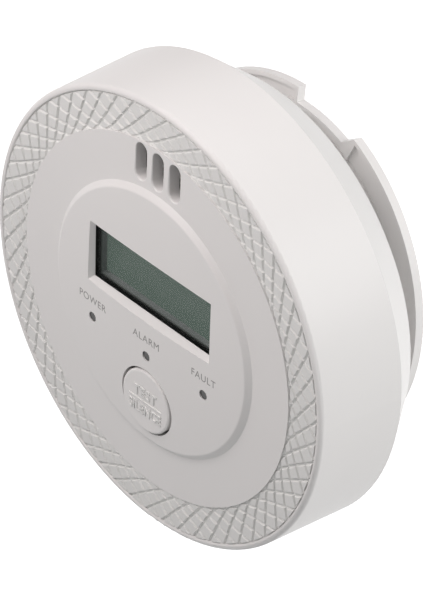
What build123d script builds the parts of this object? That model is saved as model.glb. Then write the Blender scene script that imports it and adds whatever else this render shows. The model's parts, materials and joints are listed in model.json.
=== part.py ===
from build123d import *

import os
from math import cos, radians, sin

# Wall-mounted round carbon monoxide detector hung on its mounting bracket.
#
# Row frame: the wall is the plane Y = 0, the detector faces -Y, +Z is up, and the
# origin is the centre of the bracket's back face. All sizes are in millimetres.
#
# The detector hangs on two hooks at the bottom of the bracket and leans out at the
# top. Its own pieces are drawn in a face frame: x to the right, y up the face and
# z forward, with z = 0 on the front rim. level(z) gives the plane at height z.

os.makedirs("parts", exist_ok=True)

# ---- Driving dimensions -----------------------------------------------------

# Detector body
RIM_RADIUS = 54.0          # front rim
SIDE_RADIUS = 54.5         # widest point of the drafted side wall
SIDE_DEPTH = 22.2          # depth of the front housing's side wall
BACK_RADIUS = 46.8         # flat back face
BODY_DEPTH = 31.7          # rim to back face
WALL = 2.0                 # moulded wall thickness
RIM_ROUND = 1.0            # outer rounding of the front rim
RIM_INNER_ROUND = 0.4      # rounding towards the patterned band
PARTING_GAP = 0.02         # between the two housing shells

# Front face
DOME_HEIGHT = 2.66         # crown of the centre disc above the rim
DISC_RADIUS = 31.1         # top edge of the raised centre disc
DISC_HEIGHT = 1.58         # disc height at that edge
DISC_FOOT = 32.4           # foot of the disc's bevel
DISC_ROUND = 0.8           # rounding of the disc's top edge
ANNULUS_INNER = 0.45       # height of the smooth ring at the disc
ANNULUS_OUTER = 0.2        # and at the patterned band
BAND_INNER = 43.7          # patterned band, inner radius
BAND_OUTER = 52.4          # patterned band, outer radius
BAND_RECESS = 0.8          # seat that the band's relief fills

# Display
LCD_CENTRE = 8.25          # height of the display's centre above the face centre
LCD_OPENING = (38.9, 13.9)
LCD_BEVEL = 1.28           # flare of the opening at LCD_FLARE_TOP
LCD_FLARE_TOP = 3.0
LCD_FLARE_FOOT = 0.9
WINDOW_SIZE = (43.0, 18.0, 1.0)
WINDOW_SEAT = 0.8          # back of the lip that the window is glued against
FIT_GAP = 0.1              # clearance around each glued or clipped insert
FRAME_SIZE = (46.0, 21.0)
FRAME_SHOULDER = -1.2      # the frame narrows to the window's size above this
DISPLAY_FRONT = -2.4       # front of the display glass
DISPLAY_SIZE = (42.0, 17.5, 2.8)

# Lamps and button
LAMP_SPACING = 18.55
LAMP_HEIGHT = -8.67
LAMP_HOLE = 1.2
PIPE_RADIUS = 1.1
PIPE_RECESS = 0.25         # below the face around it
PIPE_BACK = -5.0
PIPE_COLLAR = (2.2, 0.9)   # radius and thickness
PIPE_COLLAR_BACK = -1.0
LAMP_RADIUS = 1.5
LAMP_FLANGE = (1.9, 0.8)
LAMP_LENGTH = 3.6
BUTTON_HEIGHT = -20.8
BUTTON_RADIUS = 7.75
BUTTON_HOLE = 8.3
BUTTON_ROUND = 0.6
BUTTON_STEM = 2.0
PLUNGER_RADIUS = 1.7
PLUNGER_LENGTH = 1.8
SWITCH_SIZE = (6.2, 6.2, 3.5)
BUTTON_TOP = 2.55
BUTTON_TAB_TOP = -1.7      # four tabs behind the face keep the button in
BUTTON_TAB = (18.6, 5.0, 0.8)
BUTTON_TIP = -5.6

# Air and sound slots
SLOT_HEIGHT = 38.2
SLOT_PITCH = 5.5
SLOT_SIZE = (9.2, 3.6)
SLOT_EASE = 0.3
SLOT_COLLAR = (19.0, 12.0) # thick block behind the face that the slots run through
SLOT_COLLAR_BACK = -2.7
MESH_BACK = -4.5           # the mesh lies on the sounder
MESH_SIZE = (18.5, 11.0, 0.3)
MESH_HOLE = 0.9
MESH_PITCH = 1.4

# Inside
BOARD_FRONT = -10.0
BOARD_THICKNESS = 1.6
BOARD_RADIUS = 42.0
BOARD_POSTS = [(-21.0, 30.0), (21.0, 30.0), (0.0, -37.0)]
CASE_SCREW_RADIUS = 42.0   # circle of the four case screws
CASE_BOSS = 3.2
CASE_SCREW_HOLE = 1.3
CASE_BOSS_END = -14.0
CASE_SCREW_HEAD = (2.6, 2.1)
CASE_SCREW_SINK = 2.7
CASE_SCREW_LENGTH = 20.0
BOARD_POST = 2.6
BOARD_POST_HOLE = 1.0
BOARD_SCREW_HEAD = (2.2, 1.2)
BOARD_SCREW_LENGTH = 6.5
CHIP_PLACE = (31.0, 6.0)
CHIP_SIZE = (9.0, 9.0, 1.4)
CHIP_LEAD = (0.4, 2.2, 0.3)
CHIP_LEAD_PITCH = 1.2
CHIP_LIFT = 0.2
CRYSTAL_PLACE = (31.0, -4.0)
CRYSTAL_SIZE = (10.0, 3.8, 3.2)
RESISTOR_PLACE = (26.0, -20.0)
RESISTOR_SIZE = (1.2, 2.2, 0.6)
RESISTOR_PITCH = (2.6, 3.6)
CAPACITOR_PLACES = [(-11.0, -27.0), (11.0, -27.0)]
CAPACITOR_SIZE = (4.0, 11.0)
TRANSFORMER_PLACE = (0.0, -27.0)
TRANSFORMER_SIZE = (9.0, 8.0, 7.0)
SOUNDER_HEIGHT = 30.2
SOUNDER_RADIUS = 11.0
SOUNDER_DEPTH = 5.5
SOUNDER_WALL = 1.0
SOUNDER_PORT = 3.0
GASKET_SIZE = (2.0, 1.7)
SENSOR_PLACE = (-31.5, 9.0)
SENSOR_RADIUS = 7.3
SENSOR_DEPTH = 5.4
SENSOR_CAP = 0.8
SENSOR_PORT = 0.6

# Batteries: two AA cells side by side
CELL_RADIUS = 7.25
CELL_LENGTH = 50.5
CELL_NUB = 1.5
CELL_SPACING = 15.2
CELL_LEVEL = -22.3
TRAY_SIZE = (57.0, 30.6)
TRAY_WALL = 1.2
TRAY_FLOOR = -14.6
CONTACT_THICKNESS = 0.5
DOOR_SIZE = (56.8, 30.4)
DOOR_CORNER = 3.0
DOOR_GRIP_PLACE = -20.0
DOOR_GRIP_SIZE = (14.0, 9.0, 0.9)
DOOR_RIB = (6.0, 0.8)
DOOR_RIB_PITCH = 2.4
LEAD_RADIUS = 0.6
LEAD_LEVEL = -20.0

# Bracket and the hooks that the detector leans on
LEAN = 4.8                 # degrees that the top leans out from the wall
STAND_OFF = 38.6           # bracket back centre to rim plane, square to the face
BRACKET_RADIUS = 42.8
BRACKET_OPENING = 35.0
BRACKET_PLATE = 1.2
BRACKET_RIM = 2.2          # rim height, from the wall
BRACKET_RIM_WALL = 1.0
NOTCH_RADIUS = 39.0
NOTCH_COUNT = 3
INNER_WALL_PLACE = (-2.4, 38.4)
INNER_WALL_LENGTH = 3.6
LOW_FRONT_HEIGHT = -41.0   # cut-down rim where the cover's edge swings in
LOW_FRONT_SIZE = (52.0, 10.5)
STUD_HEIGHT = 32.9         # stud on the cover, inside the bracket's ring
STUD_SIZE = (8.0, 2.8, 2.7)
WALL_SCREW_CIRCLE = 78.0
WALL_SCREW_ANGLE = -15.0
WALL_SCREW_HOLE = 2.1
HOOK_PLACE = 9.0           # hooks at this distance each side of the middle
HOOK_WIDTH = 6.0
HOOK_POST = 2.0
HOOK_LIP = 2.0
HOOK_LIP_WALL = 1.2
HOOK_CLEARANCE = 0.35      # under the cover's slot edge
HOOK_SWING_ROOM = 0.85     # between the cover's inner face and the lip
HINGE_HEIGHT = -38.0       # hinge line on the detector: upper edge of the slots
HINGE_SLOT_DEPTH = 5.0

# ---- Frames -----------------------------------------------------------------

front_normal = Vector(0, -cos(radians(LEAN)), -sin(radians(LEAN)))
face = Plane(origin=front_normal * STAND_OFF, x_dir=(1, 0, 0), z_dir=front_normal)
turned = Plane(origin=face.origin, x_dir=(1, 0, 0), z_dir=-face.y_dir)
turn_axis = Axis(face.origin, front_normal)
back_level = -BODY_DEPTH
inner_back = back_level + WALL


def level(height):
    """Plane parallel to the face, height in front of the rim."""
    return face.offset(height)


def dome(x, y):
    """Height of the centre disc's crowned surface at a place on the face."""
    return DOME_HEIGHT - (DOME_HEIGHT - DISC_HEIGHT) * (x * x + y * y) / DISC_RADIUS**2


def along_x(x, y, z):
    """Plane square to the x axis at a point given in the face frame."""
    return Plane(origin=face.from_local_coords((x, y, z)), x_dir=face.y_dir, z_dir=(1, 0, 0))


def write(piece, label):
    """Label a finished piece and write its STEP file."""
    piece.part.label = label
    export_step(piece.part, f"parts/{label}.step")


# ---- Front housing ----------------------------------------------------------

inner_side = SIDE_RADIUS - 2.2
inner_top = -2.0
dome_back = DOME_HEIGHT - 2.1
disc_back = DISC_HEIGHT - 2.1

with BuildPart() as front_housing:
    with BuildSketch(turned) as housing_profile:
        with BuildLine():
            ThreePointArc(
                (0, DOME_HEIGHT),
                (DISC_RADIUS / 2, DOME_HEIGHT - (DOME_HEIGHT - DISC_HEIGHT) / 4),
                (DISC_RADIUS, DISC_HEIGHT),
            )
            Polyline(
                (DISC_RADIUS, DISC_HEIGHT),
                (DISC_FOOT, ANNULUS_INNER),
                (BAND_INNER, ANNULUS_OUTER),
                (BAND_INNER, -BAND_RECESS),
                (BAND_OUTER, -BAND_RECESS),
                (BAND_OUTER, 0),
                (RIM_RADIUS - RIM_ROUND, 0),
            )
            RadiusArc((RIM_RADIUS - RIM_ROUND, 0), (RIM_RADIUS, -RIM_ROUND), RIM_ROUND)
            Polyline(
                (RIM_RADIUS, -RIM_ROUND),
                (SIDE_RADIUS, -SIDE_DEPTH),
                (inner_side, -SIDE_DEPTH),
                (inner_side - 0.5, inner_top - 1),
                (inner_side - 1.5, inner_top),
                (DISC_FOOT, inner_top + 0.2),
                (DISC_RADIUS, disc_back),
            )
            ThreePointArc(
                (DISC_RADIUS, disc_back),
                (DISC_RADIUS / 2, dome_back - (dome_back - disc_back) / 4),
                (0, dome_back),
            )
            Line((0, dome_back), (0, DOME_HEIGHT))
        make_face()
        for corner, radius in (
            ((DISC_RADIUS, DISC_HEIGHT), DISC_ROUND),
            ((BAND_OUTER, 0), RIM_INNER_ROUND),
        ):
            fillet(housing_profile.vertices().sort_by_distance(corner)[0], radius)
    revolve(axis=turn_axis)
    # Pocket behind the face for the display window
    with BuildSketch(level(WINDOW_SEAT)):
        with Locations((0, LCD_CENTRE)):
            Rectangle(WINDOW_SIZE[0] + 4 * FIT_GAP, WINDOW_SIZE[1] + 4 * FIT_GAP)
    extrude(amount=-4, mode=Mode.SUBTRACT)
    # Display opening: thin lip with a flared front
    with BuildSketch(level(WINDOW_SEAT)):
        with Locations((0, LCD_CENTRE)):
            Rectangle(*LCD_OPENING)
    extrude(amount=LCD_FLARE_FOOT - WINDOW_SEAT, mode=Mode.SUBTRACT)
    with BuildSketch(level(LCD_FLARE_FOOT)):
        with Locations((0, LCD_CENTRE)):
            Rectangle(*LCD_OPENING)
    with BuildSketch(level(LCD_FLARE_TOP)):
        with Locations((0, LCD_CENTRE)):
            Rectangle(*[side + 2 * LCD_BEVEL for side in LCD_OPENING])
    loft(mode=Mode.SUBTRACT)
    # Lamp holes and button hole
    with BuildSketch(level(-3)):
        with Locations(*[(x, LAMP_HEIGHT) for x in (-LAMP_SPACING, 0, LAMP_SPACING)]):
            Circle(LAMP_HOLE)
        with Locations((0, BUTTON_HEIGHT)):
            Circle(BUTTON_HOLE)
    extrude(amount=7, mode=Mode.SUBTRACT)
    # Air and sound slots with eased edges
    with BuildSketch(level(SLOT_COLLAR_BACK)):
        with Locations((0, SLOT_HEIGHT)):
            RectangleRounded(*SLOT_COLLAR, 2)
    extrude(amount=inner_top + 0.3 - SLOT_COLLAR_BACK)
    with BuildSketch(level(SLOT_COLLAR_BACK)):
        with GridLocations(SLOT_PITCH, 1, 3, 1):
            with Locations((0, SLOT_HEIGHT)):
                SlotOverall(*SLOT_SIZE, rotation=90)
    extrude(amount=ANNULUS_INNER + 1 - SLOT_COLLAR_BACK, mode=Mode.SUBTRACT)
    with BuildSketch(level(ANNULUS_INNER)):
        with GridLocations(SLOT_PITCH, 1, 3, 1):
            with Locations((0, SLOT_HEIGHT)):
                SlotOverall(*[side + 2 * SLOT_EASE for side in SLOT_SIZE], rotation=90)
    extrude(amount=-2 * SLOT_EASE, taper=40, mode=Mode.SUBTRACT)
    # Screw bosses and board posts
    with BuildSketch(level(CASE_BOSS_END)):
        with PolarLocations(CASE_SCREW_RADIUS, 4, start_angle=45):
            Circle(CASE_BOSS)
    extrude(amount=-CASE_BOSS_END - 1.5)
    with BuildSketch(level(BOARD_FRONT)):
        with Locations(*BOARD_POSTS):
            Circle(BOARD_POST)
    extrude(amount=-BOARD_FRONT - 1.4)
    with BuildSketch(level(CASE_BOSS_END)):
        with PolarLocations(CASE_SCREW_RADIUS, 4, start_angle=45):
            Circle(CASE_SCREW_HOLE)
    extrude(amount=10, mode=Mode.SUBTRACT)
    with BuildSketch(level(BOARD_FRONT)):
        with Locations(*BOARD_POSTS):
            Circle(BOARD_POST_HOLE)
    extrude(amount=6, mode=Mode.SUBTRACT)
write(front_housing, "front_housing")

# ---- Rear cover -------------------------------------------------------------

cover_front = -SIDE_DEPTH - PARTING_GAP
lip_radius = inner_side - 0.5
hinge_slot_places = [(side * HOOK_PLACE, HINGE_HEIGHT - HINGE_SLOT_DEPTH / 2) for side in (-1, 1)]

with BuildPart() as rear_cover:
    with BuildSketch(turned):
        with BuildLine():
            Polyline(
                (0, back_level),
                (BACK_RADIUS, back_level),
                (SIDE_RADIUS, cover_front),
                (lip_radius, cover_front),
                (lip_radius, cover_front + WALL),
                (lip_radius - 1.6, cover_front + WALL),
                (lip_radius - 1.6, cover_front - 1.2),
                (BACK_RADIUS - 1, inner_back),
                (0, inner_back),
                close=True,
            )
        make_face()
    revolve(axis=turn_axis)
    with BuildSketch(level(back_level)):
        with PolarLocations(CASE_SCREW_RADIUS, 4, start_angle=45):
            Circle(3.9)
    extrude(amount=CASE_BOSS_END - back_level - 0.1)
    with BuildSketch(level(back_level)):
        with PolarLocations(CASE_SCREW_RADIUS, 4, start_angle=45):
            Circle(CASE_SCREW_HEAD[0] + 0.3)
    extrude(amount=CASE_SCREW_SINK, mode=Mode.SUBTRACT)
    with BuildSketch(level(back_level)):
        with PolarLocations(CASE_SCREW_RADIUS, 4, start_angle=45):
            Circle(CASE_SCREW_HOLE)
        RectangleRounded(DOOR_SIZE[0] + 0.6, DOOR_SIZE[1] + 0.6, DOOR_CORNER)
        with Locations(*hinge_slot_places):
            Rectangle(HOOK_WIDTH + 1, HINGE_SLOT_DEPTH)
    extrude(amount=20, mode=Mode.SUBTRACT)
    # Stud that drops inside the bracket's ring when the detector is pressed home
    with BuildSketch(level(back_level)):
        with Locations((0, STUD_HEIGHT)):
            RectangleRounded(*STUD_SIZE[:2], 0.8)
    extrude(amount=-STUD_SIZE[2])
write(rear_cover, "rear_cover")

with BuildPart() as case_screws:
    with BuildSketch(level(back_level + CASE_SCREW_SINK - CASE_SCREW_HEAD[1])):
        with PolarLocations(CASE_SCREW_RADIUS, 4, start_angle=45):
            Circle(CASE_SCREW_HEAD[0])
    extrude(amount=CASE_SCREW_HEAD[1])
    with BuildSketch(level(back_level + CASE_SCREW_SINK)):
        with PolarLocations(CASE_SCREW_RADIUS, 4, start_angle=45):
            Circle(CASE_SCREW_HOLE)
    extrude(amount=CASE_SCREW_LENGTH)
    with BuildSketch(level(back_level + CASE_SCREW_SINK - CASE_SCREW_HEAD[1])):
        with PolarLocations(CASE_SCREW_RADIUS, 4, start_angle=45):
            Rectangle(3.2, 0.7)
            Rectangle(0.7, 3.2)
    extrude(amount=1.1, mode=Mode.SUBTRACT)
write(case_screws, "case_screws")

# ---- Display ----------------------------------------------------------------

frame_opening = [side - 2 * FIT_GAP for side in LCD_OPENING]
window_back = WINDOW_SEAT - WINDOW_SIZE[2]

with BuildPart() as lcd_window:
    with BuildSketch(level(window_back)):
        with Locations((0, LCD_CENTRE)):
            RectangleRounded(WINDOW_SIZE[0], WINDOW_SIZE[1], 0.8)
    extrude(amount=WINDOW_SIZE[2])
write(lcd_window, "lcd_window")

with BuildPart() as lcd_frame:
    with BuildSketch(level(BOARD_FRONT)):
        with Locations((0, LCD_CENTRE)):
            RectangleRounded(*FRAME_SIZE, 1)
    extrude(amount=FRAME_SHOULDER - BOARD_FRONT)
    with BuildSketch(level(FRAME_SHOULDER)):
        with Locations((0, LCD_CENTRE)):
            RectangleRounded(WINDOW_SIZE[0], WINDOW_SIZE[1], 0.8)
    extrude(amount=window_back - FRAME_SHOULDER)
    with BuildSketch(level(BOARD_FRONT)):
        with Locations((0, LCD_CENTRE)):
            Rectangle(*frame_opening)
    extrude(amount=window_back - BOARD_FRONT, mode=Mode.SUBTRACT)
    with BuildSketch(level(BOARD_FRONT)):
        with Locations((0, LCD_CENTRE)):
            Rectangle(DISPLAY_SIZE[0] + 0.4, DISPLAY_SIZE[1] + 0.4)
    extrude(amount=DISPLAY_FRONT - BOARD_FRONT, mode=Mode.SUBTRACT)
write(lcd_frame, "lcd_frame")

with BuildPart() as lcd_panel:
    with BuildSketch(level(DISPLAY_FRONT - DISPLAY_SIZE[2])):
        with Locations((0, LCD_CENTRE)):
            Rectangle(DISPLAY_SIZE[0], DISPLAY_SIZE[1])
    extrude(amount=DISPLAY_SIZE[2])
write(lcd_panel, "lcd_panel")

display_back = DISPLAY_FRONT - DISPLAY_SIZE[2]

with BuildPart() as lcd_reflector:
    with BuildSketch(level(display_back)):
        with Locations((0, LCD_CENTRE)):
            Rectangle(38, 12)
    extrude(amount=-0.5)
write(lcd_reflector, "lcd_reflector")

with BuildPart() as lcd_connector_strips:
    with BuildSketch(level(BOARD_FRONT)):
        with Locations((0, LCD_CENTRE - 7.6), (0, LCD_CENTRE + 7.6)):
            Rectangle(38, 1.8)
    extrude(amount=display_back - BOARD_FRONT)
write(lcd_connector_strips, "lcd_connector_strips")

# ---- Lamps: a light pipe in the face and a lamp on the board behind it ----------

for label, x in (("power", -LAMP_SPACING), ("alarm", 0), ("fault", LAMP_SPACING)):
    with BuildPart() as light_pipe:
        with BuildSketch(level(PIPE_BACK)):
            with Locations((x, LAMP_HEIGHT)):
                Circle(PIPE_RADIUS)
        extrude(amount=dome(x, LAMP_HEIGHT) - PIPE_RECESS - PIPE_BACK)
        with BuildSketch(level(PIPE_COLLAR_BACK)):
            with Locations((x, LAMP_HEIGHT)):
                Circle(PIPE_COLLAR[0])
        extrude(amount=PIPE_COLLAR[1])
    write(light_pipe, f"{label}_light_pipe")

    with BuildPart() as lamp:
        with BuildSketch(level(BOARD_FRONT)):
            with Locations((x, LAMP_HEIGHT)):
                Circle(LAMP_FLANGE[0])
        extrude(amount=LAMP_FLANGE[1])
        with BuildSketch(level(BOARD_FRONT + LAMP_FLANGE[1])):
            with Locations((x, LAMP_HEIGHT)):
                Circle(LAMP_RADIUS)
        extrude(amount=LAMP_LENGTH)
        fillet(lamp.edges().filter_by(GeomType.CIRCLE).sort_by(Axis.Y)[0], 0.8 * LAMP_RADIUS)
    write(lamp, f"{label}_led")

# ---- Test button and its switch ----------------------------------------------

tab_foot = BUTTON_TAB_TOP - BUTTON_TAB[2]

with BuildPart() as test_button:
    with BuildSketch(level(tab_foot)):
        with Locations((0, BUTTON_HEIGHT)):
            Rectangle(*BUTTON_TAB[:2])
            Rectangle(*BUTTON_TAB[:2], rotation=90)
    extrude(amount=BUTTON_TAB[2])
    with BuildSketch(level(tab_foot)):
        with Locations((0, BUTTON_HEIGHT)):
            Circle(BUTTON_RADIUS)
    extrude(amount=BUTTON_TOP - tab_foot)
    fillet(test_button.edges().filter_by(GeomType.CIRCLE).sort_by(Axis.Y)[0], BUTTON_ROUND)
    with BuildSketch(level(BUTTON_TIP)):
        with Locations((0, BUTTON_HEIGHT)):
            Circle(BUTTON_STEM)
    extrude(amount=tab_foot - BUTTON_TIP)
write(test_button, "test_button")

with BuildPart() as switch_plunger:
    with BuildSketch(level(BUTTON_TIP)):
        with Locations((0, BUTTON_HEIGHT)):
            Circle(PLUNGER_RADIUS)
    extrude(amount=-PLUNGER_LENGTH)
write(switch_plunger, "switch_plunger")

with BuildPart() as tact_switch:
    with BuildSketch(level(BOARD_FRONT)):
        with Locations((0, BUTTON_HEIGHT)):
            Rectangle(*SWITCH_SIZE[:2])
    extrude(amount=SWITCH_SIZE[2])
    with BuildSketch(level(BOARD_FRONT + 1.5)):
        with Locations((0, BUTTON_HEIGHT)):
            Circle(PLUNGER_RADIUS + 0.3)
    extrude(amount=2, mode=Mode.SUBTRACT)
write(tact_switch, "tact_switch")

# ---- Circuit board and its parts ---------------------------------------------

board_back = BOARD_FRONT - BOARD_THICKNESS

with BuildPart() as main_board:
    with BuildSketch(level(board_back)):
        Circle(BOARD_RADIUS)
        with PolarLocations(CASE_SCREW_RADIUS, 4, start_angle=45):
            Circle(CASE_BOSS + 1.2, mode=Mode.SUBTRACT)
        with Locations(*BOARD_POSTS):
            Circle(1.2, mode=Mode.SUBTRACT)
    extrude(amount=BOARD_THICKNESS)
write(main_board, "main_board")

with BuildPart() as board_screws:
    with BuildSketch(level(board_back)):
        with Locations(*BOARD_POSTS):
            Circle(BOARD_SCREW_HEAD[0])
    extrude(amount=-BOARD_SCREW_HEAD[1])
    with BuildSketch(level(board_back)):
        with Locations(*BOARD_POSTS):
            Circle(BOARD_POST_HOLE)
    extrude(amount=BOARD_SCREW_LENGTH)
write(board_screws, "board_screws")

with BuildPart() as microcontroller:
    with BuildSketch(level(BOARD_FRONT + CHIP_LIFT)):
        with Locations(CHIP_PLACE):
            Rectangle(*CHIP_SIZE[:2])
    extrude(amount=CHIP_SIZE[2])
    with BuildSketch(level(BOARD_FRONT)):
        with Locations(CHIP_PLACE):
            with GridLocations(CHIP_LEAD_PITCH, CHIP_SIZE[1] + 2, 7, 2):
                Rectangle(*CHIP_LEAD[:2])
    extrude(amount=CHIP_LEAD[2])
write(microcontroller, "microcontroller")

with BuildPart() as quartz_crystal:
    with BuildSketch(level(BOARD_FRONT)):
        with Locations(CRYSTAL_PLACE):
            SlotOverall(*CRYSTAL_SIZE[:2])
    extrude(amount=CRYSTAL_SIZE[2])
write(quartz_crystal, "quartz_crystal")

with BuildPart() as chip_resistors:
    with BuildSketch(level(BOARD_FRONT)):
        with Locations(RESISTOR_PLACE):
            with GridLocations(*RESISTOR_PITCH, 4, 3):
                Rectangle(*RESISTOR_SIZE[:2])
    extrude(amount=RESISTOR_SIZE[2])
write(chip_resistors, "chip_resistors")

with BuildPart() as storage_capacitors:
    with BuildSketch(level(board_back)):
        with Locations(*CAPACITOR_PLACES):
            Circle(CAPACITOR_SIZE[0])
    extrude(amount=-CAPACITOR_SIZE[1])
write(storage_capacitors, "storage_capacitors")

with BuildPart() as sounder_transformer:
    with BuildSketch(level(board_back)):
        with Locations(TRANSFORMER_PLACE):
            Rectangle(*TRANSFORMER_SIZE[:2])
    extrude(amount=-TRANSFORMER_SIZE[2])
write(sounder_transformer, "sounder_transformer")

# ---- Sounder ------------------------------------------------------------------

sounder_place = (0, SOUNDER_HEIGHT)

with BuildPart() as sounder_case:
    with BuildSketch(level(BOARD_FRONT)):
        with Locations(sounder_place):
            Circle(SOUNDER_RADIUS)
    extrude(amount=SOUNDER_DEPTH)
    with BuildSketch(level(BOARD_FRONT + SOUNDER_WALL)):
        with Locations(sounder_place):
            Circle(SOUNDER_RADIUS - SOUNDER_WALL)
    extrude(amount=SOUNDER_DEPTH - 2 * SOUNDER_WALL, mode=Mode.SUBTRACT)
    with BuildSketch(level(BOARD_FRONT + SOUNDER_DEPTH)):
        with Locations(sounder_place):
            Circle(SOUNDER_PORT)
    extrude(amount=-2 * SOUNDER_WALL, mode=Mode.SUBTRACT)
write(sounder_case, "sounder_case")

with BuildPart() as piezo_disc:
    with BuildSketch(level(BOARD_FRONT + SOUNDER_WALL)):
        with Locations(sounder_place):
            Circle(SOUNDER_RADIUS - SOUNDER_WALL - FIT_GAP)
    extrude(amount=0.4)
write(piezo_disc, "piezo_disc")

with BuildPart() as sounder_gasket:
    with BuildSketch(level(BOARD_FRONT + SOUNDER_DEPTH)):
        with Locations(sounder_place):
            Circle(SOUNDER_RADIUS)
            Circle(SOUNDER_RADIUS - GASKET_SIZE[0], mode=Mode.SUBTRACT)
        with Locations((0, SLOT_HEIGHT)):
            Rectangle(*[side + 0.6 for side in SLOT_COLLAR], mode=Mode.SUBTRACT)
    extrude(amount=GASKET_SIZE[1])
write(sounder_gasket, "sounder_gasket")

with BuildPart() as insect_mesh:
    with BuildSketch(level(MESH_BACK)):
        with Locations((0, SLOT_HEIGHT)):
            Rectangle(*MESH_SIZE[:2])
            with GridLocations(MESH_PITCH, MESH_PITCH, 12, 7):
                Rectangle(MESH_HOLE, MESH_HOLE, mode=Mode.SUBTRACT)
    extrude(amount=MESH_SIZE[2])
write(insect_mesh, "insect_mesh")

# ---- Carbon monoxide sensor -----------------------------------------------------

with BuildPart() as co_sensor:
    with BuildSketch(level(BOARD_FRONT)):
        with Locations(SENSOR_PLACE):
            Circle(SENSOR_RADIUS)
    extrude(amount=SENSOR_DEPTH)
    with BuildSketch(level(BOARD_FRONT + SENSOR_DEPTH)):
        with Locations(SENSOR_PLACE):
            Circle(SENSOR_RADIUS - 1)
    extrude(amount=SENSOR_CAP)
write(co_sensor, "co_sensor")

with BuildPart() as co_sensor_filter:
    with BuildSketch(level(BOARD_FRONT + SENSOR_DEPTH + SENSOR_CAP)):
        with Locations(SENSOR_PLACE):
            Circle(SENSOR_RADIUS - 2)
            Circle(SENSOR_PORT, mode=Mode.SUBTRACT)
    extrude(amount=0.6)
write(co_sensor_filter, "co_sensor_filter")

# ---- Batteries, their tray, contacts and door ------------------------------------

with BuildPart() as battery_tray:
    with BuildSketch(level(inner_back)):
        Rectangle(*[side + 2 * TRAY_WALL for side in TRAY_SIZE])
    extrude(amount=TRAY_FLOOR + TRAY_WALL - inner_back)
    with BuildSketch(level(inner_back)):
        Rectangle(*TRAY_SIZE)
    extrude(amount=TRAY_FLOOR - inner_back, mode=Mode.SUBTRACT)
write(battery_tray, "battery_tray")

tray_end = TRAY_SIZE[0] / 2 - CONTACT_THICKNESS
cell_body = CELL_LENGTH - CELL_NUB

for label, side in (("battery_upper", 1), ("battery_lower", -1)):
    with BuildPart() as battery:
        nub_end = side * tray_end
        with BuildSketch(along_x(nub_end - side * CELL_NUB, side * CELL_SPACING / 2, CELL_LEVEL)):
            Circle(CELL_RADIUS)
        extrude(amount=-side * cell_body)
        with BuildSketch(along_x(nub_end, side * CELL_SPACING / 2, CELL_LEVEL)):
            Circle(2.75)
        extrude(amount=-side * CELL_NUB)
    write(battery, label)

with BuildPart() as battery_contacts:
    for x, y, width in (
        (-TRAY_SIZE[0] / 2, 0, 26),
        (tray_end, CELL_SPACING / 2, 11),
        (tray_end, -CELL_SPACING / 2, 11),
    ):
        with BuildSketch(along_x(x, y, CELL_LEVEL)):
            Rectangle(width, 11)
        extrude(amount=CONTACT_THICKNESS)
write(battery_contacts, "battery_contacts")

spring_length = 2 * tray_end - CELL_LENGTH

with BuildPart() as battery_springs:
    for side in (-1, 1):
        coil_start = along_x(side * tray_end, -side * CELL_SPACING / 2, CELL_LEVEL)
        turns = Helix(
            pitch=1.25,
            height=spring_length - 0.8,
            radius=3.6,
            center=coil_start.origin - (side * 0.4, 0, 0),
            direction=(-side, 0, 0),
        )
        with BuildSketch(Plane(origin=turns @ 0, z_dir=turns % 0)):
            Circle(0.3)
        sweep(path=turns, is_frenet=True)
write(battery_springs, "battery_springs")

with BuildPart() as battery_door:
    with BuildSketch(level(back_level)):
        RectangleRounded(*DOOR_SIZE, DOOR_CORNER)
    extrude(amount=WALL)
    # Finger recess and grip ribs at one end
    with BuildSketch(level(back_level)):
        with Locations((DOOR_GRIP_PLACE, 0)):
            SlotOverall(*DOOR_GRIP_SIZE[:2], rotation=90)
    extrude(amount=DOOR_GRIP_SIZE[2], mode=Mode.SUBTRACT)
    with BuildSketch(level(back_level)):
        with Locations((DOOR_GRIP_PLACE, 0)):
            with GridLocations(1, DOOR_RIB_PITCH, 1, 4):
                Rectangle(*DOOR_RIB)
    extrude(amount=DOOR_GRIP_SIZE[2])
write(battery_door, "battery_door")

for label, side in (("red_lead", 1), ("black_lead", -1)):
    with BuildPart() as lead:
        with BuildLine(face) as route:
            FilletPolyline(
                (TRAY_SIZE[0] / 2 + TRAY_WALL, side * 7, LEAD_LEVEL),
                (34, side * 7, LEAD_LEVEL),
                (34, side * 7, board_back),
                radius=2.5,
            )
        start = route.line @ 0
        with BuildSketch(Plane(origin=start, z_dir=route.line % 0)):
            Circle(LEAD_RADIUS)
        sweep(path=route.line)
    write(lead, label)

# ---- Mounting bracket -------------------------------------------------------------

hinge_line = face.from_local_coords((0, HINGE_HEIGHT, back_level + WALL / 2))
post_top = hinge_line.Z - HOOK_CLEARANCE
lip_back = -hinge_line.Y + WALL / 2 + HOOK_SWING_ROOM
notch = [(-1, 30), (-1, 50), (35, 50), (30, 46.8), (13.6, 36.4), (10, 30)]
ramp = [(13.4, 35.6), (18.3, 38.5), (15.7, 32.8)]

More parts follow.
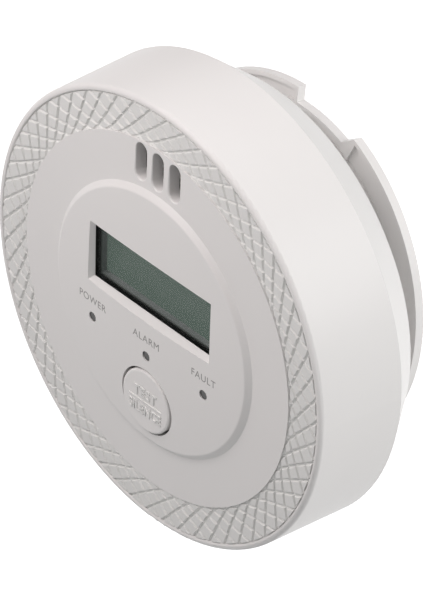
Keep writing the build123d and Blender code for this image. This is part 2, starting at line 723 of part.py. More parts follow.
with BuildPart() as mounting_bracket:
    with BuildSketch(Plane.XZ) as outline:
        Circle(BRACKET_RADIUS)
        with PolarLocations(0, NOTCH_COUNT):
            Polygon(*notch, align=None, mode=Mode.SUBTRACT)
        Circle(NOTCH_RADIUS)
    extrude(amount=BRACKET_RIM)
    with BuildSketch(Plane.XZ.offset(BRACKET_PLATE)):
        add(outline.sketch.located(Location((0, 0, 0))))
        offset(amount=-BRACKET_RIM_WALL, mode=Mode.REPLACE)
        Circle(BRACKET_OPENING + 1, mode=Mode.SUBTRACT)
    extrude(amount=BRACKET_RIM, mode=Mode.SUBTRACT)
    # Ramps and short inner walls beside the notches
    with BuildSketch(Plane.XZ):
        with PolarLocations(0, NOTCH_COUNT):
            Polygon(*ramp, align=None)
            with Locations(INNER_WALL_PLACE):
                Rectangle(INNER_WALL_LENGTH, BRACKET_RIM_WALL)
    extrude(amount=BRACKET_RIM)
    # Low front at the bottom, where the cover's edge swings in
    with BuildSketch(Plane.XZ.offset(BRACKET_PLATE)):
        with Locations((0, LOW_FRONT_HEIGHT)):
            Rectangle(*LOW_FRONT_SIZE)
    extrude(amount=BRACKET_RIM, mode=Mode.SUBTRACT)
    # Hooks
    with BuildSketch(Plane.XZ):
        with Locations(*[(side * HOOK_PLACE, post_top) for side in (-1, 1)]):
            Rectangle(HOOK_WIDTH, HOOK_POST, align=(Align.CENTER, Align.MAX))
    extrude(amount=lip_back + HOOK_LIP_WALL)
    with BuildSketch(Plane.XZ.offset(lip_back)):
        with Locations(*[(side * HOOK_PLACE, post_top) for side in (-1, 1)]):
            Rectangle(HOOK_WIDTH, HOOK_LIP, align=(Align.CENTER, Align.MIN))
    extrude(amount=HOOK_LIP_WALL)
    # Central opening and wall screw holes
    with BuildSketch(Plane.XZ):
        Circle(BRACKET_OPENING)
        with PolarLocations(WALL_SCREW_CIRCLE / 2, 2, start_angle=WALL_SCREW_ANGLE):
            Circle(WALL_SCREW_HOLE)
    extrude(amount=BRACKET_RIM + 1, mode=Mode.SUBTRACT)
write(mounting_bracket, "mounting_bracket")

print("hinge line", hinge_line, "front normal", front_normal, "face centre", face.origin)
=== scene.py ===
"""Looks for a round wall-mounted carbon monoxide detector leaning on its bracket."""

import json
from math import cos, pi, radians, sin

import bmesh
import bpy
from bpy.props import FloatProperty, FloatVectorProperty, IntProperty, PointerProperty, StringProperty
from mathutils import Euler, Matrix, Vector


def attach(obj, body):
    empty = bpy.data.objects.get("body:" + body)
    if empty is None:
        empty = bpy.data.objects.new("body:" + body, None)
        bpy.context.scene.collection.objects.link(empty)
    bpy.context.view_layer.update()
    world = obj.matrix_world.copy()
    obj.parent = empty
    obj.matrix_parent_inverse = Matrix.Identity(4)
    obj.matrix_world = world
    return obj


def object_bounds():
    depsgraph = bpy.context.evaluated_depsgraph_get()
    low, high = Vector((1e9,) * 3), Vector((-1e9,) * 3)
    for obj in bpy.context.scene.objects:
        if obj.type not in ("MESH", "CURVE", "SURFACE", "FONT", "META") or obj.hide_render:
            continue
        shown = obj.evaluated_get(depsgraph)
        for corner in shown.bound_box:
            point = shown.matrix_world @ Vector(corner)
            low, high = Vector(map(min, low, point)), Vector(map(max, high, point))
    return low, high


bl_info = {
    "name": "Carbon Monoxide Detector",
    "version": (1, 0, 0),
    "blender": (4, 5, 0),
    "location": "View3D > Sidebar > Detector",
    "description": "Builds the visible pieces, finishes and stage of a round carbon monoxide detector",
    "category": "Object",
}

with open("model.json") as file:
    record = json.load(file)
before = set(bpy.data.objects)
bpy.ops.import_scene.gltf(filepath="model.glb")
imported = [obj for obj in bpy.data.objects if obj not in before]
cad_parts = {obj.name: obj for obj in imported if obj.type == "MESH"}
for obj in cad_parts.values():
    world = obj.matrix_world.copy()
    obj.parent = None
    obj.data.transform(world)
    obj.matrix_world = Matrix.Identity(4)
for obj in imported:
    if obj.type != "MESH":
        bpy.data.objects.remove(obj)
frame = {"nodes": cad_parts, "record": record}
cad_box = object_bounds()

MM = 0.001

# ---- The face frame ---------------------------------------------------------
# The detector leans out from the wall. Its own pieces are drawn in a frame with x to
# the right, y up the face and z forward, z = 0 on the front rim, in millimetres.

LEAN = radians(4.8)
STAND_OFF = 38.6
FACE_RIGHT = Vector((1, 0, 0))
FACE_UP = Vector((0, -sin(LEAN), cos(LEAN)))
FACE_OUT = Vector((0, -cos(LEAN), -sin(LEAN)))
FACE = Matrix.Translation(FACE_OUT * STAND_OFF * MM) @ Matrix(
    (FACE_RIGHT, FACE_UP, FACE_OUT)
).transposed().to_4x4() @ Matrix.Scale(MM, 4)

DOME_CROWN = 2.66
DOME_FALL = 0.001115       # dome height lost per square millimetre of radius
LCD_CENTRE = 8.25
FRAME_FRONT = -0.2         # front of the display's black frame
DISPLAY_FRONT = -2.4       # front of the display glass
DISPLAY_PAINTED_GLOW = 2.1         # painted glow that keeps the display light in its own shade
LAMP_SPACING = 18.55
LAMP_HEIGHT = -8.67
BUTTON_HEIGHT = -20.8
BUTTON_TOP = 2.55


def dome_height(x, y):
    """Height of the centre disc's crowned surface above the rim."""
    return DOME_CROWN - DOME_FALL * (x * x + y * y)


# ---- Settings ---------------------------------------------------------------


class BandSettings(bpy.types.PropertyGroup):
    cells: IntProperty(
        name="Cells", description="Pads in one turn of the patterned band", default=60, min=12
    )
    samples: IntProperty(
        name="Samples", description="Mesh columns across one pad", default=24, min=4
    )
    inner: FloatProperty(
        name="Inner Radius", description="Inner edge of the band, in millimetres", default=43.705
    )
    moat: FloatProperty(
        name="Moat Radius", description="Inner edge of the channel beside the rim", default=52.2
    )
    outer: FloatProperty(
        name="Outer Radius", description="Outer edge of the band, in millimetres", default=52.395
    )
    top: FloatProperty(
        name="Pad Height", description="Height of the pads above the rim", default=-0.06
    )
    depth: FloatProperty(
        name="Groove Depth", description="Depth of the grooves between the pads", default=0.50
    )
    groove: FloatProperty(
        name="Groove Half Width", description="Half the width of a groove at the top", default=0.40
    )
    wall: FloatProperty(
        name="Groove Wall Share", description="Share of the half width that the steep wall takes",
        default=0.6, min=0.1, max=1,
    )
    crowding: FloatProperty(
        name="Crowding", description="How far mesh lines gather towards the grooves",
        default=0.65, min=0, max=0.9,
    )


class WordSettings(bpy.types.PropertyGroup):
    ink: FloatVectorProperty(
        name="Ink", description="Colour of the printed words", subtype="COLOR",
        default=(0.27, 0.265, 0.26), min=0, max=1,
    )
    lamp_words: StringProperty(
        name="Lamp Words", description="Words over the three lamps, left to right",
        default="POWER ALARM FAULT",
    )
    button_words: StringProperty(
        name="Button Words", description="Raised words on the button, top and bottom",
        default="TEST SILENCE",
    )
    cap_height: FloatProperty(
        name="Cap Height", description="Height of the printed capitals, in millimetres", default=1.9
    )
    raised: FloatProperty(
        name="Raised", description="Height of the button's raised words, in millimetres",
        default=0.22,
    )


class FinishSettings(bpy.types.PropertyGroup):
    housing: FloatVectorProperty(
        name="Housing", description="Moulded white of the housing", subtype="COLOR",
        default=(0.80, 0.785, 0.775), min=0, max=1,
    )
    # This colour also feeds the display's painted glow
    display: FloatVectorProperty(
        name="Display", description="Resting colour of the display", subtype="COLOR",
        default=(0.035, 0.047, 0.040), min=0, max=1,
    )


class StageSettings(bpy.types.PropertyGroup):
    floor_size: FloatProperty(
        name="Floor Size", description="Side of the floor", default=60.0, subtype="DISTANCE"
    )
    floor_drop: FloatProperty(
        name="Floor Drop", description="Height of the object above the floor",
        default=1.0, subtype="DISTANCE",
    )
    world_light: FloatProperty(
        name="World Light", description="Strength of the even surrounding light", default=0.36
    )
    world_lean: FloatVectorProperty(
        name="World Lean", description="How much it gains towards the right, the back and the top",
        default=(0.03, 0.09, 0.075),
    )
    floor_glow: FloatProperty(
        name="Floor Glow", description="Brightness that keeps the floor white", default=0.95
    )
    key_light: FloatProperty(
        name="Key Light", description="Power of the soft light above the face", default=1.03
    )
    side_light: FloatProperty(
        name="Side Light", description="Power of the soft light on the side wall", default=5.7
    )


# ---- Shader and geometry maths ----------------------------------------------


class Value:
    """A node socket that takes part in arithmetic by adding Math nodes."""

    def __init__(self, kit, socket):
        self.kit = kit
        self.socket = socket

    def math(self, operation, *others):
        return self.kit.node(
            "ShaderNodeMath", {"operation": operation}, {0: self, **dict(enumerate(others, 1))}
        )

    def __add__(self, other):
        return self.math("ADD", other)

    __radd__ = __add__

    def __sub__(self, other):
        return self.math("SUBTRACT", other)

    def __rsub__(self, other):
        return self.kit.node("ShaderNodeMath", {"operation": "SUBTRACT"}, {0: other, 1: self})

    def __mul__(self, other):
        return self.math("MULTIPLY", other)

    __rmul__ = __mul__

    def __truediv__(self, other):
        return self.math("DIVIDE", other)

    def __rtruediv__(self, other):
        return self.kit.node("ShaderNodeMath", {"operation": "DIVIDE"}, {0: other, 1: self})

    def __lt__(self, other):
        return self.math("LESS_THAN", other)

    def __gt__(self, other):
        return self.math("GREATER_THAN", other)

    def clamped(self):
        return self.math("MINIMUM", 1.0).math("MAXIMUM", 0.0)


class NodeKit:
    """Adds nodes to a tree and hands their outputs back as Values."""

    def __init__(self, tree):
        self.tree = tree

    def node(self, kind, settings=None, inputs=None, output=0):
        """One node: its settings first, then the values or links of its sockets."""
        made = self.tree.nodes.new(kind)
        for name, value in (settings or {}).items():
            setattr(made, name, value)
        for key, value in (inputs or {}).items():
            socket = made.inputs[key]
            if isinstance(value, Value):
                self.tree.links.new(value.socket, socket)
            else:
                socket.default_value = value
        return Value(self, made.outputs[output])

    def parts(self, vector):
        """The three components of a vector as Values."""
        split = self.tree.nodes.new("ShaderNodeSeparateXYZ")
        self.tree.links.new(vector.socket, split.inputs[0])
        return [Value(self, out) for out in split.outputs]

    def colours(self, factor, first, second):
        """Blend of two colours, which may be links."""
        opaque = [c if isinstance(c, Value) else (*c[:3], 1.0) for c in (first, second)]
        return self.node(
            "ShaderNodeMix", {"data_type": "RGBA"},
            {"Factor": factor, 6: opaque[0], 7: opaque[1]}, output=2,
        )


class Finish(NodeKit):
    """A material: Object coordinates in, one Principled surface out."""

    def __init__(self, name):
        self.material = bpy.data.materials.new(name)
        self.material.use_nodes = True
        super().__init__(self.material.node_tree)
        self.surface = self.tree.nodes["Principled BSDF"]
        self.place = self.node("ShaderNodeTexCoord", output="Object")

    def noise(self, scale, detail=2.0, roughness=0.5):
        return self.node(
            "ShaderNodeTexNoise", {},
            {"Vector": self.place, "Scale": scale, "Detail": detail, "Roughness": roughness},
        )

    def bump(self, height, distance, strength=1.0):
        self.link("Normal", self.node(
            "ShaderNodeBump", {},
            {"Height": height, "Distance": distance, "Strength": strength},
        ))

    def link(self, name, value):
        if isinstance(value, Value):
            self.tree.links.new(value.socket, self.surface.inputs[name])
        else:
            self.surface.inputs[name].default_value = value

    def set(self, **values):
        for name, value in values.items():
            self.link(name.replace("_", " ").title().replace("Ior", "IOR"), value)
        return self


def shade(colour, factor):
    """A colour made lighter or darker."""
    return tuple(min(1.0, channel * factor) for channel in colour[:3])


# ---- Finishes ---------------------------------------------------------------


def moulded(name, colour, roughness=0.42, grain=0.000012, grain_scale=5200.0, cloud=0.012):
    """Moulded plastic: fine spark-eroded grain and faint cloudiness."""
    finish = Finish(name)
    clouds = finish.noise(60.0, 3.0)
    grains = finish.noise(grain_scale, 2.0, 0.6)
    finish.link("Base Color", finish.colours(clouds, shade(colour, 1 - cloud), shade(colour, 1 + cloud)))
    finish.link("Roughness", roughness - 0.05 + grains * 0.1)
    finish.bump(grains, grain, 0.6)
    return finish.set(IOR=1.46).material


def brushed(name, colour, roughness=0.32, along=(40.0, 40.0, 4000.0)):
    """Drawn or plated metal with fine lines."""
    finish = Finish(name)
    stretched = finish.node("ShaderNodeMapping", {}, {"Vector": finish.place, "Scale": along})
    lines = finish.node("ShaderNodeTexNoise", {}, {"Vector": stretched, "Scale": 1.0, "Detail": 3.0})
    finish.link("Base Color", finish.colours(lines, shade(colour, 0.88), shade(colour, 1.08)))
    finish.link("Roughness", roughness - 0.08 + lines * 0.16)
    finish.bump(lines, 0.00001, 0.5)
    return finish.set(Metallic=1.0).material


def rubbery(name, colour):
    """Soft matt rubber or foam with open pores."""
    finish = Finish(name)
    pores = finish.noise(2600.0, 4.0, 0.7)
    finish.link("Base Color", finish.colours(pores, shade(colour, 0.8), shade(colour, 1.25)))
    finish.link("Roughness", 0.7 + pores * 0.2)
    finish.bump(pores, 0.00005, 0.7)
    return finish.material


def ink(name, colour):
    """Printed ink, slightly uneven."""
    finish = Finish(name)
    speckle = finish.noise(2400.0, 2.0)
    finish.link("Base Color", finish.colours(speckle, shade(colour, 0.9), shade(colour, 1.12)))
    finish.link("Roughness", 0.45 + speckle * 0.15)
    return finish.material


def window_clear(name):
    """Clear moulded window, so clean that it barely shows."""
    finish = Finish(name)
    wave = finish.noise(90.0, 1.0)
    finish.link("Base Color", finish.colours(wave, (0.05, 0.06, 0.055), (0.07, 0.08, 0.075)))
    finish.link("Roughness", 0.04 + wave * 0.03)
    finish.link("Alpha", 0.05 + wave * 0.02)
    return finish.set(IOR=1.49).material


def frame_black(name, colour, painted_reflection):
    """Black moulded frame with a painted reflection of the display's grey-green on its deeper walls."""
    finish = Finish(name)
    _, y, z = finish.parts(finish.place)
    height = (y * -cos(LEAN) - z * sin(LEAN)) / MM - STAND_OFF
    grains = finish.noise(3000.0)
    depth = ((FRAME_FRONT - height) / (FRAME_FRONT - DISPLAY_FRONT)).clamped()
    # Painted reflection: the walls blend from black to the display's grey-green as they go deeper behind
    # the frame front
    finish.link("Base Color", finish.colours((depth * 3 - 0.3).clamped(), colour, painted_reflection))
    finish.link("Roughness", 0.5 + grains * 0.1)
    finish.surface.inputs["Specular IOR Level"].default_value = 0.25
    return finish.material


def display_glass(name, colour):
    """Resting liquid crystal display: grey-green with a faint cell mottle, and a painted glow that lifts
    it out of its shade.
    """
    finish = Finish(name)
    mottle = finish.noise(220.0, 3.0)
    fine = finish.noise(3000.0, 1.0)
    tint_and_glow = finish.colours(mottle, shade(colour, 0.95), shade(colour, 1.05))
    finish.link("Base Color", tint_and_glow)
    # Painted glow: the display emits its own tint so its shaded parts stay light, though it is no lamp
    finish.link("Emission Color", tint_and_glow)
    finish.link("Roughness", 0.24 + fine * 0.08)
    finish.surface.inputs["Specular IOR Level"].default_value = 0.05
    return finish.set(IOR=1.5, Emission_Strength=DISPLAY_PAINTED_GLOW).material


def circuit_board(name):
    """Green solder mask over copper tracks."""
    finish = Finish(name)
    tracks = finish.node(
        "ShaderNodeTexVoronoi", {"feature": "DISTANCE_TO_EDGE"},
        {"Vector": finish.place, "Scale": 260.0, "Randomness": 0.55},
    )
    copper = 1 - ((tracks - 0.04) * 30.0).clamped()
    weave = finish.noise(1500.0, 2.0)
    base = finish.colours(weave, (0.010, 0.085, 0.035), (0.016, 0.120, 0.050))
    finish.link("Base Color", finish.colours(copper, base, (0.045, 0.210, 0.080)))
    finish.link("Roughness", 0.28 + weave * 0.12)
    finish.bump(copper, 0.00003, 0.5)
    return finish.material


def striped_strip(name):
    """Elastomer connector: fine black and clear layers along its length."""
    finish = Finish(name)
    x = finish.parts(finish.place)[0]
    layers = (x * 5000.0).math("SINE") * 0.5 + 0.5
    grains = finish.noise(900.0)
    finish.link("Base Color", finish.colours(layers, (0.30, 0.30, 0.31), (0.45, 0.45, 0.46)))
    finish.link("Roughness", 0.5 + grains * 0.2)
    return finish.material


def battery_jacket(name):
    """Printed cell jacket: a plain dark wrap with a lighter shoulder band."""
    finish = Finish(name)
    x = finish.parts(finish.place)[0]
    wear = finish.noise(700.0, 3.0)
    band = (x * 1000.0 - 12.0).clamped()
    finish.link("Base Color", finish.colours(band, (0.05, 0.06, 0.075), (0.42, 0.33, 0.13)))
    finish.link("Roughness", 0.25 + wear * 0.15)
    finish.bump(wear, 0.000008, 0.4)
    return finish.set(Metallic=0.35).material


def wound_tape(name):
    """Yellow polyester tape round a small transformer."""
    finish = Finish(name)
    y = finish.parts(finish.place)[1]
    wraps = (y * 5200.0).math("SINE") * 0.5 + 0.5
    finish.link("Base Color", finish.colours(wraps, (0.50, 0.34, 0.04), (0.62, 0.45, 0.07)))
    finish.link("Roughness", 0.3 + wraps * 0.15)
    finish.bump(wraps, 0.00002, 0.4)
    return finish.material


def lens_clear(name, colour):
    """Lamp or light pipe: coloured clear resin with faint cloud."""
    finish = Finish(name)
    cloud = finish.noise(900.0, 2.0)
    finish.link("Base Color", finish.colours(cloud, shade(colour, 0.85), shade(colour, 1.15)))
    finish.link("Roughness", 0.16 + cloud * 0.12)
    return finish.set(IOR=1.5).material


class DETECTOR_OT_finishes(bpy.types.Operator):
    """Give every CAD piece its own finish"""

    bl_idname = "detector.finishes"
    bl_label = "Finishes"

    def execute(self, context):
        colours = context.scene.detector_finish
        white = tuple(colours.housing)
        by_slot = {
            "housing_white": moulded("housing_white", white),
            "bracket_white": moulded("bracket_white", shade(white, 1.02), 0.40),
            "button_white": moulded("button_white", white, 0.40),
            "window_clear": window_clear("window_clear"),
            # The frame's second colour is the display's painted reflection on its deep walls
            "frame_black": frame_black("frame_black", (0.006, 0.006, 0.006), (0.22, 0.24, 0.235)),
            "display_glass": display_glass("display_glass", tuple(colours.display)),
            "reflector_film": moulded("reflector_film", (0.42, 0.46, 0.43), 0.3),
            "strip_rubber": striped_strip("strip_rubber"),
            "pipe_smoke": lens_clear("pipe_smoke", (0.016, 0.014, 0.013)),
            "lamp_clear": lens_clear("lamp_clear", (0.55, 0.56, 0.54)),
            "switch_black": moulded("switch_black", (0.02, 0.02, 0.021), 0.5),
            "board_green": circuit_board("board_green"),
            "screw_steel": brushed("screw_steel", (0.56, 0.56, 0.57)),
            "chip_black": moulded("chip_black", (0.018, 0.018, 0.02), 0.6, 0.00003),
            "crystal_steel": brushed("crystal_steel", (0.62, 0.62, 0.62), 0.25),
            "resistor_black": moulded("resistor_black", (0.02, 0.02, 0.025), 0.4),
            "capacitor_sleeve": lens_clear("capacitor_sleeve", (0.012, 0.016, 0.045)),
            "transformer_yellow": wound_tape("transformer_yellow"),
            "sounder_black": moulded("sounder_black", (0.018, 0.018, 0.018), 0.5),
            "piezo_brass": brushed("piezo_brass", (0.62, 0.45, 0.18), 0.35),
            "gasket_foam": rubbery("gasket_foam", (0.03, 0.03, 0.03)),
            "mesh_steel": brushed("mesh_steel", (0.24, 0.24, 0.24), 0.45),
            "sensor_steel": brushed("sensor_steel", (0.58, 0.58, 0.59)),
            "filter_white": rubbery("filter_white", (0.70, 0.70, 0.70)),
            "battery_jacket": battery_jacket("battery_jacket"),
            "contact_steel": brushed("contact_steel", (0.62, 0.60, 0.56), 0.28),
            "lead_red": rubbery("lead_red", (0.45, 0.02, 0.015)),
            "lead_black": rubbery("lead_black", (0.015, 0.015, 0.015)),
        }
        for part in frame["record"]["subparts"]:
            node = frame["nodes"][part["node"]]
            node.data.materials.clear()
            node.data.materials.append(by_slot[part["material_slot"]])
        return {"FINISHED"}


# ---- Patterned band ---------------------------------------------------------

ROW_START = 43.5           # radius of the innermost groove crossings
ROW_STEP = 0.90            # radius gained by the first row
ROW_GROWTH = 0.195         # and how much more each row gains
FIRST_ROW = 0.25           # rows of crossings that the pads span
LAST_ROW = 4.75
BAND_SEAT = -0.8           # floor of the housing's channel under the band
SHALLOW_ROWS = 1.5         # rows over which the grooves reach their full depth
SHALLOW_SHARE = 0.5        # and the share that they start with


def band_tree(material):
    """Geometry nodes for a ring of lozenge pads between two mirrored families of grooves."""
    tree = bpy.data.node_groups.new("patterned_band", "GeometryNodeTree")
    for name, kind in (
        ("Cells", "Int"), ("Samples", "Int"), ("Inner Radius", "Float"), ("Moat Radius", "Float"),
        ("Outer Radius", "Float"), ("Pad Height", "Float"), ("Groove Depth", "Float"),
        ("Groove Half Width", "Float"), ("Groove Wall Share", "Float"), ("Crowding", "Float"),
    ):
        tree.interface.new_socket(name, in_out="INPUT", socket_type=f"NodeSocket{kind}")
    tree.interface.new_socket("Geometry", in_out="OUTPUT", socket_type="NodeSocketGeometry")
    kit = NodeKit(tree)
    group = tree.nodes.new("NodeGroupInput")
    given = {out.name: Value(kit, out) for out in group.outputs if out.name}

    # A flat grid: x is the turn and y counts the lines across the band. Lines 0 and 1 stand
    # on the inner edge, the next ones cross the pads, then come two for the moat's floor, one
    # on the outer edge and one that closes the underside. Pad lines and columns are spaced so
    # that mesh lines run along both families of grooves.
    pad_lines = (LAST_ROW - FIRST_ROW) * given["Samples"] / 2
    columns = given["Cells"] * given["Samples"] + 1
    last = pad_lines + 6
    grid = kit.node(
        "GeometryNodeMeshGrid", {},
        {"Size X": 1.0, "Size Y": last, "Vertices X": columns, "Vertices Y": last + 1},
    )
    turn, line, flat = kit.parts(kit.node("GeometryNodeInputPosition"))
    line = line + last / 2
    beyond = line - pad_lines
    on_inner_edge = (line < 1.5).math("MAXIMUM", beyond > 5.5)
    on_moat = (beyond > 2.5) * (beyond < 4.5)
    on_outer_edge = (beyond > 3.5) * (beyond < 5.5)
    on_seat = (line < 0.5).math("MAXIMUM", beyond > 4.5)

    # Gather the mesh lines towards the grooves, except at the two edges
    even_row = FIRST_ROW + ((line - 2) / pad_lines).clamped() * (LAST_ROW - FIRST_ROW)
    even_cell = turn * given["Cells"]
    calm = ((even_row - FIRST_ROW) * 2).clamped() * ((LAST_ROW - even_row) * 2).clamped()
    pull = given["Crowding"] * calm / (4 * pi)
    waves = [((even_cell + even_row * side) * (2 * pi)).math("SINE") for side in (0.5, -0.5)]
    cell = even_cell - pull * (waves[0] + waves[1])
    row = even_row - pull * 2 * (waves[0] - waves[1])

    radius = ROW_START + row * ROW_STEP + row * row * ROW_GROWTH
    for mask, edge in (
        (on_inner_edge, "Inner Radius"), (on_outer_edge, "Outer Radius"),
        ((beyond > 2.5) * (beyond < 3.5), "Moat Radius"),
    ):
        radius = radius + mask * (given[edge] - radius)

    # Distance to the nearest groove, square to the groove, sets the height
    pitch = radius * (2 * pi) / given["Cells"]
    slope = pitch * 0.5 / (ROW_STEP + row * (2 * ROW_GROWTH))
    square = 1 / (slope * slope + 1).math("SQRT")
    nearest = [
        ((cell + row * side + 0.5).math("FLOORED_MODULO", 1.0) - 0.5).math("ABSOLUTE")
        for side in (0.5, -0.5)
    ]
    distance = nearest[0].math("MINIMUM", nearest[1]) * pitch * square
    cut = ((1 - distance / given["Groove Half Width"]) / given["Groove Wall Share"]).clamped()
    deepening = SHALLOW_SHARE + (row / SHALLOW_ROWS).clamped() * (1 - SHALLOW_SHARE)
    groove = cut * cut * (3 - cut * 2) * deepening
    groove = groove + on_moat * (1 - groove)
    height = given["Pad Height"] - given["Groove Depth"] * groove
    height = height + on_seat * (BAND_SEAT - height)

    angle = cell / given["Cells"] * (-2 * pi)
    place = kit.node(
        "ShaderNodeCombineXYZ", {},
        {0: radius * angle.math("COSINE"), 1: radius * angle.math("SINE"), 2: height},
    )
    shaped = kit.node("GeometryNodeSetPosition", {}, {"Geometry": grid, "Position": place})
    closed = kit.node("GeometryNodeMergeByDistance", {}, {"Geometry": shaped, "Distance": 0.002})
    real = kit.node("GeometryNodeRealizeInstances", {}, {"Geometry": closed})
    done = kit.node("GeometryNodeSetMaterial", {}, {"Geometry": real, "Material": material})
    out = tree.nodes.new("NodeGroupOutput")
    tree.links.new(done.socket, out.inputs[0])
    return tree


def run_tree(name, tree, values):
    """Evaluate a geometry tree once and keep the result as a plain mesh object."""
    carrier = bpy.data.objects.new(name, bpy.data.meshes.new(name))
    bpy.context.collection.objects.link(carrier)
    modifier = carrier.modifiers.new("shape", "NODES")
    modifier.node_group = tree
    for socket in tree.interface.items_tree:
        if socket.in_out == "INPUT":
            modifier[socket.identifier] = values[socket.name]
    graph = bpy.context.evaluated_depsgraph_get()
    mesh = bpy.data.meshes.new_from_object(carrier.evaluated_get(graph))
    carrier.modifiers.remove(modifier)
    carrier.data = mesh
    return carrier


def into_face(piece):
    """Bake the face frame into a piece drawn in millimetres, with faces pointing outwards."""
    piece.data.transform(FACE)
    shell = bmesh.new()
    shell.from_mesh(piece.data)
    bmesh.ops.recalc_face_normals(shell, faces=shell.faces)
    shell.to_mesh(piece.data)
    shell.free()


class DETECTOR_OT_band(bpy.types.Operator):
    """Make the band of lozenge pads round the front"""

    bl_idname = "detector.band"
    bl_label = "Patterned Band"

    def execute(self, context):
        band = context.scene.detector_band
        tree = band_tree(bpy.data.materials["housing_white"])
        piece = run_tree("patterned_band", tree, {
            "Cells": band.cells,
            "Samples": band.samples,
            "Inner Radius": band.inner,
            "Moat Radius": band.moat,
            "Outer Radius": band.outer,
            "Pad Height": band.top,
            "Groove Depth": band.depth,
            "Groove Half Width": band.groove,
            "Groove Wall Share": band.wall,
            "Crowding": band.crowding,
        })
        into_face(piece)
        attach(piece, "detector")
        return {"FINISHED"}


# ---- Words ------------------------------------------------------------------

CAP_SHARE = 0.73           # capital height as a share of the font size
LETTER_SPACING = 1.1
LAMP_WORD_FOOT = -5.1      # baseline of the lamp words
LAMP_WORD_WIDTHS = (9.3, 8.7, 7.5)
PRINT_THICKNESS = 0.03
RAISED_CAP = 2.5           # height of the button's capitals
RAISED_WEIGHT = 0.03       # how much bolder they are than the plain font
UPPER_WORD_WIDTH = 7.5
UPPER_WORD_FOOT = 0.75     # baselines of the button's words, from its centre
LOWER_WORD_WIDTH = 10.7
LOWER_WORD_FOOT = -3.6
LINE_SIZE = (10.8, 0.35)   # dividing line on the button
LINE_PLACE = -0.2


def word_mesh(name, text, cap_height, thickness, width=None, weight=0.0, bevel=0.0):
    """A word on the origin as a closed mesh, its capitals as tall and as wide as asked."""
    curve = bpy.data.curves.new(name, "FONT")
    curve.body = text
    curve.align_x = "CENTER"
    curve.extrude = thickness / 2
    curve.offset = weight
    curve.bevel_depth = bevel
    curve.bevel_resolution = 1
    curve.size = cap_height / CAP_SHARE
    curve.space_character = LETTER_SPACING
    holder = bpy.data.objects.new(name, curve)
    bpy.context.collection.objects.link(holder)
    mesh = bpy.data.meshes.new_from_object(holder.evaluated_get(bpy.context.evaluated_depsgraph_get()))
    bpy.data.objects.remove(holder)
    piece = bpy.data.objects.new(name, mesh)
    bpy.context.collection.objects.link(piece)
    if width:
        across = [vertex.co.x for vertex in mesh.vertices]
        squeeze = width / (max(across) - min(across))
        for vertex in mesh.vertices:
            vertex.co.x *= squeeze
    return piece


def finish_word(piece, material, body):
    """Place a word drawn in the face frame, and give it its finish."""
    piece.data.materials.clear()
    piece.data.materials.append(material)
    into_face(piece)
    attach(piece, body)


class DETECTOR_OT_lamp_words(bpy.types.Operator):
    """Print the words over the lamps"""

    bl_idname = "detector.lamp_words"
    bl_label = "Lamp Words"

    def execute(self, context):
        words = context.scene.detector_words
        paint = ink("word_ink", tuple(words.ink))
        for place, text, width in zip((-1, 0, 1), words.lamp_words.split(), LAMP_WORD_WIDTHS):
            piece = word_mesh(f"word_{text.lower()}", text, words.cap_height, PRINT_THICKNESS, width)
            for vertex in piece.data.vertices:
                vertex.co.x += place * LAMP_SPACING
                vertex.co.y += LAMP_WORD_FOOT
                vertex.co.z += dome_height(vertex.co.x, vertex.co.y)
            finish_word(piece, paint, "detector")
        return {"FINISHED"}


class DETECTOR_OT_button_words(bpy.types.Operator):
    """Raise the words and the dividing line on the button"""

    bl_idname = "detector.button_words"
    bl_label = "Button Words"

    def execute(self, context):
        words = context.scene.detector_words
        upper, lower = words.button_words.split()
        bevel = words.raised / 4
        thickness = 2 * (words.raised - bevel)
        for name, text, width, foot in (
            ("button_word_upper", upper, UPPER_WORD_WIDTH, UPPER_WORD_FOOT),
            ("button_word_lower", lower, LOWER_WORD_WIDTH, LOWER_WORD_FOOT),
        ):
            piece = word_mesh(name, text, RAISED_CAP, thickness, width, RAISED_WEIGHT, bevel)
            for vertex in piece.data.vertices:
                vertex.co.y += BUTTON_HEIGHT + foot
                vertex.co.z += BUTTON_TOP
            finish_word(piece, bpy.data.materials["button_white"], "button")
        ridge = bmesh.new()
        bmesh.ops.create_cube(ridge, size=1, matrix=Matrix.Translation(
            (0, BUTTON_HEIGHT + LINE_PLACE, BUTTON_TOP)
        ) @ Matrix.Diagonal((*LINE_SIZE, words.raised * 2, 1)))
        bmesh.ops.bevel(ridge, geom=ridge.edges[:], offset=bevel, segments=2, affect="EDGES")
        mesh = bpy.data.meshes.new("button_line")
        ridge.to_mesh(mesh)
        ridge.free()
        line = bpy.data.objects.new("button_line", mesh)
        context.collection.objects.link(line)
        finish_word(line, bpy.data.materials["button_white"], "button")
        return {"FINISHED"}


# ---- Stage ------------------------------------------------------------------

CAMERA_TARGET = Vector((0.00604, -0.02815, 0.00132))
CAMERA_AZIMUTH = radians(46.39)
CAMERA_ELEVATION = radians(31.98)
CAMERA_ROLL = radians(5.726)
CAMERA_DISTANCE = 1.5045
CAMERA_LENS = 419.6
LIGHT_AIM = Vector((0, -0.03, 0))
KEY_SIDE = (-0.25, -0.64, 0.70)
KEY_DISTANCE = 0.4
KEY_SIZE = 0.28
KEY_COLOUR = (1.0, 0.935, 0.93)
SIDE_SIDE = (0.80, 0.40, 0.45)
SIDE_DISTANCE = 1.0
SIDE_SIZE = 0.7
SIDE_COLOUR = (1.0, 0.99, 0.985)


def soft_light(name, direction, distance, size, power, colour):
    """A square area light in a direction from the detector, turned to face it."""
    place = LIGHT_AIM + Vector(direction).normalized() * distance
    light = bpy.data.lights.new(name, "AREA")
    light.size = size
    light.energy = power
    light.color = colour
    holder = bpy.data.objects.new(name, light)
    holder.location = place
    holder.rotation_euler = (LIGHT_AIM - place).to_track_quat("-Z", "Y").to_euler()
    bpy.context.collection.objects.link(holder)


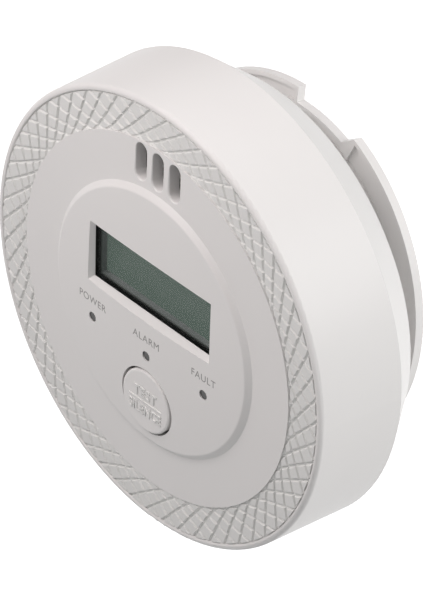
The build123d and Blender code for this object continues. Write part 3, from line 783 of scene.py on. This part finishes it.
class DETECTOR_OT_stage(bpy.types.Operator):
    """Set the floor, the light and the camera"""

    bl_idname = "detector.stage"
    bl_label = "Stage"

    def execute(self, context):
        stage = context.scene.detector_stage
        world = bpy.data.worlds.new("surround")
        world.use_nodes = True
        surround = NodeKit(world.node_tree)
        background = world.node_tree.nodes["Background"]
        background.inputs["Color"].default_value = (1, 1, 1, 1)
        seen = surround.node("ShaderNodeLightPath", output="Is Camera Ray")
        way = surround.parts(surround.node("ShaderNodeTexCoord", output="Generated"))
        lit = stage.world_light + sum(part * gain for part, gain in zip(way, stage.world_lean))
        strength = lit + seen * (1 - lit)
        world.node_tree.links.new(strength.socket, background.inputs["Strength"])
        context.scene.world = world
        context.scene.view_settings.view_transform = "Standard"

        half = stage.floor_size / 2
        level = cad_box[0].z - stage.floor_drop
        corners = [(x, y, level) for x, y in ((-half, -half), (half, -half), (half, half), (-half, half))]
        mesh = bpy.data.meshes.new("floor")
        mesh.from_pydata(corners, [], [(0, 1, 2, 3)])
        floor = bpy.data.objects.new("floor", mesh)
        floor.visible_diffuse = False
        context.collection.objects.link(floor)
        paper = Finish("floor_paper")
        fibre = paper.noise(40.0, 2.0)
        paper.link("Base Color", paper.colours(fibre, (0.94, 0.94, 0.94), (0.96, 0.96, 0.96)))
        paper.link("Roughness", 0.9 + fibre * 0.05)
        paper.surface.inputs["Emission Color"].default_value = (1, 1, 1, 1)
        paper.surface.inputs["Emission Strength"].default_value = stage.floor_glow
        floor.data.materials.append(paper.material)

        soft_light("key", KEY_SIDE, KEY_DISTANCE, KEY_SIZE, stage.key_light, KEY_COLOUR)
        soft_light("side", SIDE_SIDE, SIDE_DISTANCE, SIDE_SIZE, stage.side_light, SIDE_COLOUR)

        lens = bpy.data.cameras.new("camera")
        lens.lens = CAMERA_LENS
        lens.sensor_width = 36.0
        lens.clip_start = 0.1
        lens.clip_end = 100.0
        camera = bpy.data.objects.new("camera", lens)
        outward = Vector((
            sin(CAMERA_AZIMUTH) * cos(CAMERA_ELEVATION),
            -cos(CAMERA_AZIMUTH) * cos(CAMERA_ELEVATION),
            sin(CAMERA_ELEVATION),
        ))
        camera.location = CAMERA_TARGET + outward * CAMERA_DISTANCE
        level_view = (-outward).to_track_quat("-Z", "Y")
        camera.rotation_mode = "QUATERNION"
        camera.rotation_quaternion = level_view @ Euler((0, 0, CAMERA_ROLL)).to_quaternion()
        context.collection.objects.link(camera)
        context.scene.camera = camera
        return {"FINISHED"}


class DETECTOR_PT_panel(bpy.types.Panel):
    """Lists the pieces and their settings"""

    bl_idname = "DETECTOR_PT_panel"
    bl_label = "Detector"
    bl_space_type = "VIEW_3D"
    bl_region_type = "UI"
    bl_category = "Detector"

    def draw(self, context):
        layout = self.layout
        for operator in OPERATORS:
            layout.operator(operator.bl_idname)
        for group in (context.scene.detector_band, context.scene.detector_words,
                      context.scene.detector_finish, context.scene.detector_stage):
            box = layout.box()
            for name in group.bl_rna.properties.keys():
                if name not in ("rna_type", "name"):
                    box.prop(group, name)


OPERATORS = (
    DETECTOR_OT_stage,
    DETECTOR_OT_finishes,
    DETECTOR_OT_band,
    DETECTOR_OT_lamp_words,
    DETECTOR_OT_button_words,
)
SETTINGS = {
    "detector_band": BandSettings,
    "detector_words": WordSettings,
    "detector_finish": FinishSettings,
    "detector_stage": StageSettings,
}


def register():
    for settings in SETTINGS.values():
        bpy.utils.register_class(settings)
    for name, settings in SETTINGS.items():
        setattr(bpy.types.Scene, name, PointerProperty(type=settings))
    for shown in (*OPERATORS, DETECTOR_PT_panel):
        bpy.utils.register_class(shown)


def unregister():
    for shown in (DETECTOR_PT_panel, *reversed(OPERATORS)):
        bpy.utils.unregister_class(shown)
    for name, settings in SETTINGS.items():
        delattr(bpy.types.Scene, name)
        bpy.utils.unregister_class(settings)


def main():
    register()
    bpy.ops.detector.stage()
    bpy.ops.detector.finishes()
    bpy.ops.detector.band()
    bpy.ops.detector.lamp_words()
    bpy.ops.detector.button_words()


if __name__ == "__main__":
    main()
